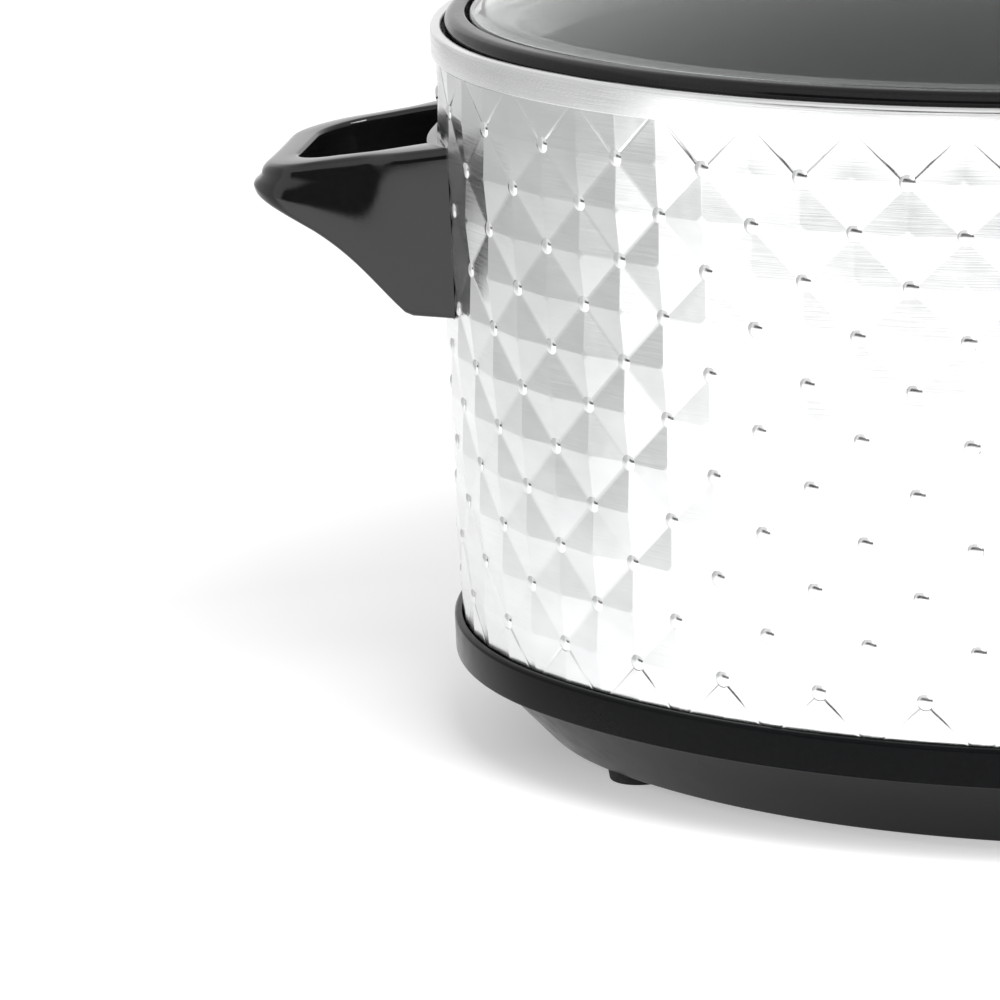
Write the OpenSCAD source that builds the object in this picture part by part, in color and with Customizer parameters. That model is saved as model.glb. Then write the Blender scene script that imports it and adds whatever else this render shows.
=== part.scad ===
// Oval slow cooker: an embossed steel body on a moulded base, a glazed stoneware crock that lifts
// out, a glass lid that lifts off, two loop handles and a rotary heat dial.
// Millimetres, +Z up, origin under the middle of the oval on the table plane, dial towards -Y.

/* [Body] */
// Half of the steel body's width, along X
half_w = 178; // [174:1:182]
// Half of the steel body's depth, along Y
half_d = 147; // [144:1:150]
// Radius of the two end arcs of the oval
end_r = 121; // [118:1:124]
// Thickness of the outer steel sheet
sheet = 0.8; // [0.6:0.1:1.0]

/* [Heights above the table] */
// Height of the rubber feet below the base
foot_h = 3; // [2.5:0.5:4]
// Underside of the base's upright ring
ring_z = 21.5; // [20:0.5:23]
// Lower edge of the plain steel rim band
band_z = 167.5; // [164:0.5:170]
// Top edge of the plain steel rim band
rim_z = 174.5; // [173.5:0.5:176]
// Floor of the heated liner
liner_floor_z = 50; // [48:1:53]

/* [Crock and lid] */
// Wall thickness of the stoneware crock
crock_wall = 7; // [6:0.5:8]
// Rise of the glass lid's dome above its edge
dome_rise = 28; // [22:1:30]
// Thickness of the lid's tempered glass
glass = 3.6; // [3:0.1:4]

/* [Handles] */
// How far each handle stands out from the body
handle_reach = 44.5; // [42:0.5:48]
// Height of the handle's top face where it meets the body
handle_z = 146.9; // [142:0.5:150]
// Fall of the handle's top face for each millimetre outwards
handle_fall = 0.136; // [0.08:0.004:0.18]

/* [Dial] */
// Height of the dial's axis
dial_z = 60; // [59:1:64]
// Radius of the round bezel behind the knob
bezel_r = 28; // [25:1:30]
// Radius of the knob
knob_r = 19; // [17:1:21]

/* [Cord inlet] */
// Radius of the bore that the mains cord passes through
cord_bore_r = 3.7; // [3:0.1:4.5]
// Height of the cord gland's axis
gland_z = 44; // [42:1:48]

/* [Hidden] */
$fn = 48;

// The oval is four arcs that meet tangentially: two ends and two long sides.
end_x = half_w - end_r;
side_r = (half_d * half_d + end_x * end_x - end_r * end_r) / (2 * (half_d - end_r));
side_y = side_r - half_d;
side_half_angle = atan2(end_x, side_y);
end_half_angle = 90 - side_half_angle;

gap = 0.1;              // clearance between nested sheet parts
wrap_foot_z = ring_z + 3;
seat_z = rim_z - 5.7;   // top of the liner's flange, where the crock's flange rests
liner_out = -16;        // outside of the liner's wall, as an offset from the oval
liner_in = liner_out - sheet;
liner_corner = 24;
crock_out = liner_in - 1.7;
crock_in = crock_out - crock_wall;
crock_floor_z = liner_floor_z + sheet + 2.2;
crock_corner = 22;
flange_out = -2.4;
crest_r = 4.2;          // rounding of the crock's visible rim
crest_z = seat_z + 8.5;
ledge_out = -7.4;       // recess in the crock's flange that the lid sits in
ledge_in = -20;
ledge_z = crest_z - glass - 0.1;
lid_out = ledge_out - 0.6;
dome_start = -14;
dome_end = -100;
seat_dip = 0.3;         // shallow seat in the middle of the dome, under the knob's ring
crown_z = ledge_z + glass + dome_rise;

// Floor of the base, its feet, screws and cover
floor_z = foot_h;
floor_t = 2.5;
cover_z = floor_z + floor_t;
cover_t = 1;
foot_offset = -27;
foot_r = 8;
foot_stem_r = 4;
screw_offset = -41;
screw_r = 2;
stud_r = 3;
shield_z = 42;
shield_t = 0.6;

// Handles, with x measured outwards from the end of the oval
arm_y = 33;             // half width over the arms near the tip
tip_r = 16;
opening_out = handle_reach - 10.5;
opening_in = 3.4;
opening_r = 13;
arm_screw_angle = 14.6;
arm_screw_z = handle_z - 23;
arm_screw_len = 14;
handle_drop = 40.9;     // height of the handle where it meets the body
plate_t = 1.6;

// Dial stack, with y measured outwards from the front of the oval
bezel_face = 3.6;
knob_gap = 0.5;
knob_h = 13.4;
bush_r = 5;
shaft_r = 3;
recess_r = 10;

lead_r = 1.3;
gland_nose = 13;

function bezier(a, b, c, d, t) = pow(1 - t, 3) * a + 3 * t * pow(1 - t, 2) * b
    + 3 * t * t * (1 - t) * c + t * t * t * d;
function arc(cx, cy, r, a0, a1, n) =
    [for (i = [0:n]) [cx + r * cos(a0 + (a1 - a0) * i / n), cy + r * sin(a0 + (a1 - a0) * i / n)]];
function dome_point(u, lift) =
    [dome_start + (dome_end - dome_start) * u, ledge_z + lift + dome_rise * (1 - pow(1 - u, 2))];
function on_end(offset, angle) = [end_x + (end_r + offset) * cos(angle), (end_r + offset) * sin(angle)];

// Carries a profile of [offset from the oval, z] round the four arcs of the oval.
module round_oval() {
    for (side = [0, 1]) mirror([side, 0, 0]) translate([end_x, 0, 0])
        rotate([0, 0, -end_half_angle]) rotate_extrude(angle = 2 * end_half_angle, $fn = 96)
            translate([end_r, 0]) children();
    for (side = [0, 1]) mirror([0, side, 0]) translate([0, side_y, 0])
        rotate([0, 0, -90 - side_half_angle]) rotate_extrude(angle = 2 * side_half_angle, $fn = 96)
            translate([side_r, 0]) children();
}

// A flat oval plate whose edge is offset from the body's oval.
module oval_plate(offset, z, t) {
    for (side = [0, 1]) mirror([side, 0, 0]) translate([end_x, 0, z])
        rotate([0, 0, -end_half_angle]) rotate_extrude(angle = 2 * end_half_angle, $fn = 96)
            square([end_r + offset, t]);
    for (side = [0, 1]) mirror([0, side, 0]) translate([0, side_y, z])
        rotate([0, 0, -90 - side_half_angle]) rotate_extrude(angle = 2 * side_half_angle, $fn = 96)
            square([side_r + offset, t]);
}

module at_feet() {
    for (sx = [-1, 1]) for (sy = [-1, 1]) let (p = on_end(foot_offset, end_half_angle))
        translate([sx * p[0], sy * p[1], 0]) children();
}

module at_base_screws() {
    for (s = [-1, 1]) {
        translate([0, s * (half_d + screw_offset), 0]) children();
        translate([s * (half_w + screw_offset), 0, 0]) children();
    }
}

// Places a child on a screw axis that is square to the body's end, with its +X outwards.
module at_handle_screws(side) {
    for (s = [-1, 1]) mirror([side < 0 ? 1 : 0, 0, 0]) translate([end_x, 0, arm_screw_z])
        rotate([0, 0, s * arm_screw_angle]) translate([end_r, 0, 0]) children();
}

module rod_x(r, x0, x1) {
    translate([x0, 0, 0]) rotate([0, 90, 0]) cylinder(r = r, h = x1 - x0);
}

// A rod along the dial's axis, between two distances outwards from the front of the oval.
module dial_rod(r, inner, outer) {
    translate([0, -half_d - inner, dial_z]) rotate([90, 0, 0]) cylinder(r = r, h = outer - inner);
}

module hex_nut(r, hole_r, h) {
    difference() {
        cylinder(r = r, h = h, $fn = 6);
        translate([0, 0, -1]) cylinder(r = hole_r, h = h + 2);
    }
}

module wire(points) {
    for (i = [0:len(points) - 2]) {
        d = points[i + 1] - points[i];
        translate(points[i]) rotate([0, acos(d[2] / norm(d)), atan2(d[1], d[0])])
            cylinder(r = lead_r, h = norm(d), $fn = 16);
    }
    for (i = [1:len(points) - 2]) translate(points[i]) sphere(r = lead_r + 0.25, $fn = 16);
}

module outer_wrap() {
    color("silver") difference() {
        round_oval() translate([-sheet, wrap_foot_z]) square([sheet, rim_z - 1.1 - wrap_foot_z]);
        dial_rod(bush_r + 4.2, -8, 8);
        for (side = [-1, 1]) at_handle_screws(side) rod_x(screw_r + 0.3, -6, 6);
        translate([0, half_d - 8, gland_z]) rotate([-90, 0, 0]) cylinder(r = 7.1, h = 16);
    }
}

module rim_band() {
    hem = -2 * sheet;
    color("gainsboro") round_oval() polygon(concat(
        [[1.1, band_z]], arc(0.3, rim_z - 0.8, 0.8, 0, 90, 4),
        [[hem, rim_z], [hem, seat_z + gap], [-sheet - gap, seat_z + gap], [-sheet - gap, rim_z - 1],
         [gap, rim_z - 1], [gap, band_z]]));
}

module liner_pot() {
    cx = liner_out - liner_corner;
    cz = liner_floor_z + liner_corner;
    color("darkgray") {
        round_oval() polygon(concat(
            [[-sheet - gap, seat_z - sheet], [-sheet - gap, seat_z], [liner_in, seat_z]],
            arc(cx, cz, liner_corner - sheet, 0, -90, 5),
            [[cx - 10, liner_floor_z + sheet], [cx - 10, liner_floor_z]],
            arc(cx, cz, liner_corner, -90, 0, 5),
            [[liner_out, seat_z - sheet]]));
        oval_plate(cx - 5, liner_floor_z, sheet);
    }
}

module base() {
    color([0.07, 0.07, 0.08]) difference() {
        round_oval() polygon([
            [2.2, ring_z + 0.6], [2.2, ring_z + 8.2], [1.4, ring_z + 9], [0.7, ring_z + 9],
            [0.3, ring_z + 8.4], [0.3, wrap_foot_z], [-5, wrap_foot_z], [-5, ring_z - 0.1],
            [-20, floor_z + floor_t], [-48, floor_z + floor_t], [-48, floor_z], [-18.6, floor_z],
            [-17.2, floor_z + 0.8], [-1.6, ring_z], [1.6, ring_z]]);
        at_feet() translate([0, 0, floor_z - 1]) cylinder(r = foot_stem_r + 0.1, h = floor_t + 2);
        at_base_screws() translate([0, 0, floor_z - 1]) cylinder(r = screw_r + 0.2, h = floor_t + 2);
    }
}

module bottom_cover() {
    color("gray") difference() {
        oval_plate(-34, cover_z, cover_t);
        at_base_screws() translate([0, 0, cover_z - 1]) cylinder(r = screw_r + 0.2, h = cover_t + 2);
        translate([0, 0, cover_z - 1]) cylinder(r = stud_r + 0.3, h = cover_t + 2);
    }
}

module foot(sx, sy) {
    p = on_end(foot_offset, end_half_angle);
    color([0.12, 0.12, 0.12]) translate([sx * p[0], sy * p[1], 0]) {
        cylinder(r = foot_r, h = foot_h);
        cylinder(r = foot_stem_r, h = foot_h + floor_t);
        translate([0, 0, foot_h + floor_t]) cylinder(r = foot_stem_r + 1.5, h = 1.6);
    }
}

module base_screws() {
    color("silver") at_base_screws() {
        translate([0, 0, floor_z - 2]) cylinder(r = 2 * screw_r, h = 2);
        translate([0, 0, floor_z - 1]) cylinder(r = screw_r, h = floor_t + cover_t + 6);
    }
}

module base_nuts() {
    color("silver") at_base_screws()
        translate([0, 0, cover_z + cover_t]) hex_nut(1.9 * screw_r, screw_r + 0.05, 3.2);
}

module centre_stud() {
    color("silver") translate([0, 0, cover_z - 4]) cylinder(r = stud_r, h = liner_floor_z - cover_z + 4);
}

module spacer_sleeves() {
    top = cover_z + cover_t;
    color("lightgray") difference() {
        union() {
            translate([0, 0, top]) cylinder(r = 6, h = shield_z - top);
            translate([0, 0, shield_z + shield_t]) cylinder(r = 6, h = liner_floor_z - shield_z - shield_t);
        }
        translate([0, 0, top - 1]) cylinder(r = stud_r + 0.2, h = liner_floor_z);
    }
}

module centre_washer() {
    color("silver") translate([0, 0, cover_z - 0.8]) difference() {
        cylinder(r = 7, h = 0.8);
        translate([0, 0, -1]) cylinder(r = stud_r + 0.2, h = 3);
    }
}

module centre_nut() {
    color("silver") translate([0, 0, cover_z - 3.6]) hex_nut(5.5, stud_r + 0.05, 2.8);
}

module heat_shield() {
    color("lightgray") difference() {
        oval_plate(-26, shield_z, shield_t);
        translate([0, 0, shield_z - 1]) cylinder(r = stud_r + 0.3, h = 3);
        translate([-22, -half_d, shield_z - 1]) cube([44, 42, 3]);
        translate([50, 96, shield_z - 1]) cylinder(r = 5, h = 3);
        translate([-50, 96, shield_z - 1]) cylinder(r = 5, h = 3);
    }
}

module heater_band() {
    color("tan") {
        round_oval() translate([liner_out + gap, 76]) square([1.3, 50]);
        for (x = [-16, 10]) translate([x, half_d + liner_out + 0.1, 66]) cube([6, 1, 11]);
    }
}

module heater_clamp() {
    y0 = half_d + liner_out + gap + 1.3;
    color("silver") for (z = [88, 114]) translate([0, y0, z]) {
        for (s = [-1, 1]) translate([s * 6 - 1, 0.1, -4]) cube([2, 5, 8]);
        translate([-10, 2.8, 0]) rod_x(1.5, 0, 20);
        translate([-12, 2.8, 0]) rod_x(2.2, 0, 2);
        translate([10, 2.8, 0]) rod_x(2.2, 0, 2);
    }
}

module insulation() {
    color("ivory") difference() {
        round_oval() translate([liner_out + 1.6, 72]) square([5, 80]);
        translate([-40, half_d + liner_out - 4, 60]) cube([80, 20, 70]);
    }
}

module thermal_fuse() {
    color("gold") translate([46, 0, 46.3]) rotate([90, 0, 0]) {
        translate([0, 0, -11]) cylinder(r = 2.4, h = 22);
        translate([0, 0, -18]) cylinder(r = 0.8, h = 36);
    }
}

module fuse_clip() {
    color("silver") translate([46, 0, 0]) difference() {
        translate([-9, -5, 43.2]) cube([18, 10, liner_floor_z - 43.2]);
        translate([-5, -6, 42]) cube([10, 12, liner_floor_z - 42.8]);
    }
}

module terminal_block() {
    color("beige") difference() {
        translate([34, block_y, cover_z + cover_t]) cube([32, 18, 14]);
        for (x = [42, 50, 58]) translate([x, 79, cover_z + cover_t + 4]) cylinder(r = 2.5, h = 20);
    }
}

block_y = 70;           // front face of the terminal block
block_top = cover_z + cover_t + 8;
switch_foot = [8, -half_d + 9, dial_z - 8.1];
tab_x = 13;
tab_y = half_d + liner_out + 1.2;
tab_z = 69;

module lead_live() {
    color("saddlebrown") wire([[42, block_y - 0.1, block_top], [42, 62, block_top], [30, 40, 20],
        [30, -60, 20], [8, -118, 26], [8, -half_d + 9, 36], switch_foot]);
}

module lead_neutral() {
    color("royalblue") wire([[58, block_y + 18.1, block_top], [58, 94, block_top], [50, 96, 30],
        [50, 96, 46.3], [46, 60, 46.3], [46, 18, 46.3]]);
}

module lead_fuse() {
    color("firebrick") wire([[46, -18, 46.3], [46, -28, 46.3], [24, -28, 46.3], [24, 60, 46.3],
        [tab_x, 112, 46.3], [tab_x, 122, 48], [tab_x, 138, 58], [tab_x, 138, tab_z],
        [tab_x, tab_y, tab_z]]);
}

module lead_heater() {
    color("darkred") wire([[-8, switch_foot[1], switch_foot[2]], [-8, -half_d + 9, 36], [-8, -118, 26],
        [-40, -60, 24], [-50, 60, 24], [-50, 96, 32], [-50, 96, 46.5], [-24, 110, 46.5],
        [-tab_x, 122, 48], [-tab_x, 138, 58], [-tab_x, 138, tab_z], [-tab_x, tab_y, tab_z]]);
}

module lead_earth() {
    top = cover_z + cover_t;
    color("olivedrab") {
        wire([[50, block_y - 0.1, block_top], [50, 62, block_top], [44, 40, 12], [20, 4, top + 2.6],
            [12, 0, top + 1.8]]);
        difference() {
            translate([0, 0, top + 0.2]) union() {
                cylinder(r = 9.5, h = 1);
                translate([6, -2.5, 0]) cube([9, 5, 1]);
            }
            translate([0, 0, top - 1]) cylinder(r = 6.1, h = 4);
        }
    }
}

module cord_gland() {
    color([0.05, 0.05, 0.05]) translate([0, half_d, gland_z]) rotate([-90, 0, 0]) difference() {
        union() {
            translate([0, 0, -sheet - 4.3]) cylinder(r = 9, h = 4);
            translate([0, 0, -sheet - 1]) cylinder(r = 7, h = sheet + 2);
            cylinder(r = 10, h = 3);
            translate([0, 0, 2]) cylinder(r = 7, h = gland_nose - 2);
        }
        translate([0, 0, -10]) cylinder(r = cord_bore_r, h = 40);
    }
}

// Plan of a handle, with x measured outwards from the end of the oval.
module handle_plan() {
    tip_x = handle_reach - tip_r;
    open_x = opening_out - opening_r;
    difference() {
        polygon(concat([[-26, 41], [11, arm_y + 3.6]], arc(tip_x, arm_y - tip_r, tip_r, 90, 0, 6),
            arc(tip_x, tip_r - arm_y, tip_r, 0, -90, 6), [[11, -arm_y - 3.6], [-26, -41]]));
        polygon(concat(arc(-end_r, 0, end_r + opening_in, -12.5, 12.5, 4), [[12, 27]],
            arc(open_x, 25 - opening_r, opening_r, 90, 0, 6),
            arc(open_x, opening_r - 25, opening_r, 0, -90, 6), [[12, -27]]));
    }
}

// Side view of a handle: a sloping top, a blunt tip and an underside that sweeps down to the body.
module handle_side() {
    low = handle_z - handle_drop;
    tip = handle_z - handle_fall * handle_reach;
    under = [for (i = [0:8]) [bezier(5, 14, 20, handle_reach - 1, i / 8),
        bezier(low + 0.9, low + 8, low + 20, tip - 7, i / 8)]];
    polygon(concat([[-26, low]], under, [[handle_reach, tip - 4.5], [handle_reach, tip - 2],
        [handle_reach - 2, tip + 0.2], [-26, handle_z + 26 * handle_fall]]));
}

module handle() {
    difference() {
        intersection() {
            translate([half_w, 0, handle_z - 60]) linear_extrude(80) handle_plan();
            translate([half_w, 60, 0]) rotate([90, 0, 0]) linear_extrude(120) handle_side();
        }
        oval_plate(gap, handle_z - 70, 100);
        at_handle_screws(1) rod_x(screw_r + 0.05, -6, arm_screw_len - 2);
    }
}

module left_handle() {
    color([0.05, 0.05, 0.05]) mirror([1, 0, 0]) handle();
}

module right_handle() {
    color([0.05, 0.05, 0.05]) handle();
}

module handle_plate(side) {
    color("silver") difference() {
        intersection() {
            round_oval() translate([-sheet - gap - plate_t, arm_screw_z - 12]) square([plate_t, 24]);
            translate([side < 0 ? -half_w - 5 : half_w - 40, -42, arm_screw_z - 20]) cube([45, 84, 40]);
        }
        at_handle_screws(side) rod_x(screw_r + 0.3, -8, 6);
    }
}

module handle_screws() {
    head = -sheet - gap - plate_t;
    color("silver") for (side = [-1, 1]) at_handle_screws(side) {
        rod_x(2 * screw_r, head - 2.3, head - 0.1);
        rod_x(screw_r, head - 1, arm_screw_len - 3);
    }
}

module control_bezel() {
    color([0.75, 0.75, 0.77]) difference() {
        union() {
            difference() {
                dial_rod(bezel_r, -4, bezel_face);
                translate([0, side_y, dial_z - 40]) cylinder(r = side_r + 0.15, h = 80, $fn = 360);
            }
            dial_rod(bush_r + 4, -4, 0.4);
        }
        dial_rod(bush_r + 0.1, -10, 20);
        dial_rod(recess_r, bezel_face - 3, bezel_face + 1);
    }
}

module rotary_switch() {
    color("dimgray") difference() {
        union() {
            translate([-15, -half_d + 4.2, dial_z - 8]) cube([30, 9, 19]);
            dial_rod(bush_r, -6, bezel_face - 0.4);
        }
        dial_rod(shaft_r + 0.06, -12.2, 10);
    }
}

module switch_nut() {
    color("silver") translate([0, -half_d - bezel_face + 2.95, dial_z]) rotate([90, 0, 0])
        hex_nut(7.4, bush_r + 0.05, 2.4);
}

module switch_shaft() {
    color("silver") dial_rod(shaft_r, -12, bezel_face + 8);
}

// A bar on the knob's rim, turned to the dial's off position.
module pointer_bar(play) {
    front = half_d + bezel_face + knob_gap + knob_h;
    translate([0, 0, dial_z]) rotate([0, -135, 0])
        translate([-0.8 - play, -front - play, knob_r - 4.7 - play])
            cube([1.6 + 2 * play, 0.8 + 2 * play, 2 + 2 * play]);
}

module control_knob() {
    back = bezel_face + knob_gap;
    color([0.06, 0.06, 0.06]) difference() {
        union() {
            dial_rod(knob_r, back, back + 3);
            dial_rod(knob_r - 1.5, back, back + knob_h - 1);
            dial_rod(knob_r - 2.5, back, back + knob_h);
        }
        dial_rod(shaft_r, 0, bezel_face + 8);
        dial_rod(knob_r - 5, back + knob_h - 0.8, back + knob_h + 1);
        for (a = [0:30:330]) translate([0, -half_d, dial_z]) rotate([0, a, 0])
            translate([knob_r - 0.4, 0, 0]) rotate([90, 0, 0]) translate([0, 0, back + 3.6])
                cylinder(r = 1.6, h = knob_h, $fn = 24);
        pointer_bar(0.05);
    }
}

module knob_cap() {
    back = bezel_face + knob_gap;
    color("silver") dial_rod(knob_r - 5.1, back + knob_h - 0.8, back + knob_h - 0.1);
}

module knob_pointer() {
    color("white") pointer_bar(0);
}

module crock() {
    cx = crock_out - crock_corner;
    cz = crock_floor_z + crock_corner;
    color([0.06, 0.06, 0.07]) {
        round_oval() polygon(concat(
            arc(flange_out - crest_r, crest_z - crest_r, crest_r, 0, 90, 4),
            [[ledge_out, crest_z], [ledge_out, ledge_z], [ledge_in, ledge_z],
             [crock_in, ledge_z - 6.6]],
            arc(cx, cz, crock_corner - crock_wall, 0, -90, 4),
            [[cx - 12, crock_floor_z + crock_wall], [cx - 12, crock_floor_z]],
            arc(cx, cz, crock_corner, -90, 0, 4),
            [[crock_out, seat_z], [flange_out, seat_z]]));
        oval_plate(cx - 6, crock_floor_z, crock_wall);
    }
}

module lid_glass() {
    steps = 6;
    color([0.75, 0.85, 0.85, 0.35]) difference() {
        union() {
            round_oval() polygon(concat(
                [[lid_out, ledge_z], [lid_out, ledge_z + glass]],
                [for (i = [0:steps]) dome_point(i / steps, glass)],
                [[dome_end - 6, crown_z], [dome_end - 6, crown_z - glass]],
                [for (i = [steps:-1:0]) dome_point(i / steps, 0)]));
            oval_plate(dome_end - 3, crown_z - glass, glass - seat_dip);
        }
        translate([0, 0, crown_z - 10]) cylinder(r = 3.4, h = 20);
    }
}

module lid_seal_washer() {
    color([0.2, 0.2, 0.2]) translate([0, 0, crown_z - glass - 1.5]) difference() {
        cylinder(r = 9, h = 1.5);
        translate([0, 0, -1]) cylinder(r = 2.6, h = 4);
    }
}

module lid_knob() {
    color([0.05, 0.05, 0.05]) difference() {
        translate([0, 0, crown_z + 1.2]) rotate_extrude($fn = 64) polygon(concat(
            [[0, 0], [14.5, 0], [13, 5], [12, 10], [15, 14]], [[21.5, 17]],
            arc(17, 21.5, 5, -20, 80, 4), [[8, 27.6], [0, 28]]));
        translate([0, 0, crown_z]) cylinder(r = 2.3, h = 16);
    }
}

module lid_knob_ring() {
    color("silver") translate([0, 0, crown_z - seat_dip]) difference() {
        cylinder(r = 18.5, h = 1.2 + seat_dip);
        translate([0, 0, -1]) cylinder(r = 3.4, h = 4);
    }
}

module lid_knob_screw() {
    color("silver") translate([0, 0, crown_z - glass - 1.5]) {
        translate([0, 0, -2.4]) cylinder(r = 4.6, h = 2.4);
        translate([0, 0, -1]) cylinder(r = 2.2, h = glass + 16);
    }
}

outer_wrap();
rim_band();
liner_pot();
base();
bottom_cover();
foot(-1, -1);  // foot_front_left
foot(1, -1);  // foot_front_right
foot(-1, 1);  // foot_rear_left
foot(1, 1);  // foot_rear_right
base_screws();
base_nuts();
centre_stud();
spacer_sleeves();
centre_washer();
centre_nut();
heat_shield();
heater_band();
heater_clamp();
insulation();
thermal_fuse();
fuse_clip();
terminal_block();
lead_live();
lead_neutral();
lead_fuse();
lead_heater();
lead_earth();
cord_gland();
left_handle();
right_handle();
handle_plate(-1);  // left_handle_plate
handle_plate(1);  // right_handle_plate
handle_screws();
control_bezel();
rotary_switch();
switch_nut();
switch_shaft();
control_knob();
knob_cap();
knob_pointer();
crock();
lid_glass();
lid_seal_washer();
lid_knob();
lid_knob_ring();
lid_knob_screw();
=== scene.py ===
"""Looks for the oval slow cooker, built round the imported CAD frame.

Metres, +Z up, origin under the middle of the oval on the table, dial towards -Y. Small sizes are written
in millimetres and multiplied by MM.
"""

import math

import bmesh
import bpy
import numpy as np
from mathutils import Matrix, Vector


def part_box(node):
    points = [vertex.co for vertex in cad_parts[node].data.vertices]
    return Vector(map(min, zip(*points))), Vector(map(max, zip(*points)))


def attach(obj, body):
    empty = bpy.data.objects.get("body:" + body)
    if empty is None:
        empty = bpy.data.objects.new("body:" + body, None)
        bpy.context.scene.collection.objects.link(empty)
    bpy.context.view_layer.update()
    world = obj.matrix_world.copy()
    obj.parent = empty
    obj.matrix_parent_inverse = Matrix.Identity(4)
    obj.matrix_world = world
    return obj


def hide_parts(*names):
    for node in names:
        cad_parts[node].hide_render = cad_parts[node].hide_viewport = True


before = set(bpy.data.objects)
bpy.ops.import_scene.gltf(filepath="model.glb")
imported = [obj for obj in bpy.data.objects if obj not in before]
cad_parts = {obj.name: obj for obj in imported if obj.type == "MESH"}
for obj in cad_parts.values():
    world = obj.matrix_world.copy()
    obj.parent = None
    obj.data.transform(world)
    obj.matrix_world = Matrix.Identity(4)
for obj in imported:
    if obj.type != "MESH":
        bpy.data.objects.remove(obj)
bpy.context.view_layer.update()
MM = 0.001

# ---- The camera, at the photograph's viewing angle ----
CAMERA_YAW, CAMERA_PITCH, CAMERA_ROLL = (math.radians(a) for a in (9.898, 13.629, -2.795))
CAMERA_LENS = 241.94            # mm, on a 36 mm sensor
CAMERA_LOOK = Vector((-169.571, 0, 52.52)) * MM
CAMERA_DISTANCE = 1643.907 * MM


def make_camera():
    back = Vector((math.sin(CAMERA_YAW) * math.cos(CAMERA_PITCH),
                   -math.cos(CAMERA_YAW) * math.cos(CAMERA_PITCH), math.sin(CAMERA_PITCH)))
    right = Vector((math.cos(CAMERA_YAW), math.sin(CAMERA_YAW), 0))
    up = back.cross(right)
    c, s = math.cos(CAMERA_ROLL), math.sin(CAMERA_ROLL)
    data = bpy.data.cameras.new("camera")
    data.lens = CAMERA_LENS
    data.sensor_width = 36
    data.clip_start = 0.05
    data.clip_end = 60
    camera = bpy.data.objects.new("camera", data)
    rotation = Matrix((c * right + s * up, c * up - s * right, back)).transposed()
    camera.matrix_world = Matrix.Translation(CAMERA_LOOK + back * CAMERA_DISTANCE) @ rotation.to_4x4()
    bpy.context.scene.collection.objects.link(camera)
    bpy.context.scene.camera = camera


make_camera()

# ---- Sizes: the oval's three driving sizes are named here, and the rest comes from them or the frame ----
HALF_W, HALF_D, END_R = 178 * MM, 147 * MM, 121 * MM
END_X = HALF_W - END_R
SIDE_R = (HALF_D ** 2 + END_X ** 2 - END_R ** 2) / (2 * (HALF_D - END_R))
SIDE_Y = SIDE_R - HALF_D
SIDE_ANGLE = math.atan2(END_X, SIDE_Y)
END_ANGLE = math.pi / 2 - SIDE_ANGLE
SIDE_LENGTH, END_LENGTH = 2 * SIDE_R * SIDE_ANGLE, 2 * END_R * END_ANGLE
ROUND = 2 * (SIDE_LENGTH + END_LENGTH)


def heights(node):
    """The lowest and highest z of a CAD node."""
    low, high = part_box(node)
    return low.z, high.z


WRAP_FOOT, WRAP_TOP = heights("outer_wrap")
BAND_LOW, BAND_TOP = heights("rim_band")
BASE_FLOOR, BASE_TOP = heights("base")
LINER_FLOOR, SEAT = heights("liner_pot")
CROCK_FLOOR, CREST = heights("crock")
LID_EDGE, CROWN = heights("lid_glass")
LID_KNOB_FOOT, LID_KNOB_TOP = heights("lid_knob")
DIAL_Z = sum(heights("control_knob")) / 2


# ---- The oval and other outlines ----
def oval(s, offset=0.0):
    """x, y and the outward normal's x, y at distances s round the oval from the middle of the front,
    towards +X, on the oval moved outwards by offset."""
    u = np.mod(np.asarray(s, float) + SIDE_LENGTH / 2, ROUND)
    first, second, third = SIDE_LENGTH, SIDE_LENGTH + END_LENGTH, 2 * SIDE_LENGTH + END_LENGTH
    where = [u < first, u < second, u < third]
    cx = np.select(where, [0, END_X, 0], -END_X)
    cy = np.select(where, [SIDE_Y, 0, -SIDE_Y], 0)
    r = np.select(where, [SIDE_R, END_R, SIDE_R], END_R)
    angle = np.select(where, [-math.pi / 2 - SIDE_ANGLE + u / SIDE_R, -END_ANGLE + (u - first) / END_R,
                              math.pi / 2 - SIDE_ANGLE + (u - second) / SIDE_R],
                      math.pi - END_ANGLE + (u - third) / END_R)
    nx, ny = np.cos(angle), np.sin(angle)
    return cx + (r + offset) * nx, cy + (r + offset) * ny, nx, ny


def rounded(corners, steps=5):
    """A closed outline through corners of (x, y, radius), with each corner turned into an arc."""
    points = []
    for i, (x, y, r) in enumerate(corners):
        here = Vector((x, y))
        if r <= 0:
            points.append(here)
            continue
        a = Vector(corners[i - 1][:2]) - here
        b = Vector(corners[(i + 1) % len(corners)][:2]) - here
        half = a.angle(b) / 2
        reach = min(r / math.tan(half), 0.499 * a.length, 0.499 * b.length)
        a.normalize()
        b.normalize()
        centre = here + (a + b).normalized() * math.hypot(reach * math.tan(half), reach)
        start, end = here + a * reach - centre, here + b * reach - centre
        turn = start.angle_signed(end)
        for k in range(steps + 1):
            t = -turn * k / steps
            points.append(centre + Vector((start.x * math.cos(t) - start.y * math.sin(t),
                                           start.x * math.sin(t) + start.y * math.cos(t))))
    return [(p.x, p.y) for p in points]


def swept_outline(corners, steps=5):
    """rounded() for corners of (offset from the oval in mm, z in metres, radius in mm)."""
    return rounded([(offset * MM, z, r * MM) for offset, z, r in corners], steps)


def turned_outline(corners, steps=5):
    """rounded() for corners of (radius, distance along the axis, corner radius), all in mm."""
    return rounded([(x * MM, y * MM, r * MM) for x, y, r in corners], steps)


# ---- Meshes ----
SHARP = math.radians(32)        # edges that turn more than this stay sharp, unless a piece says otherwise


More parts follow.
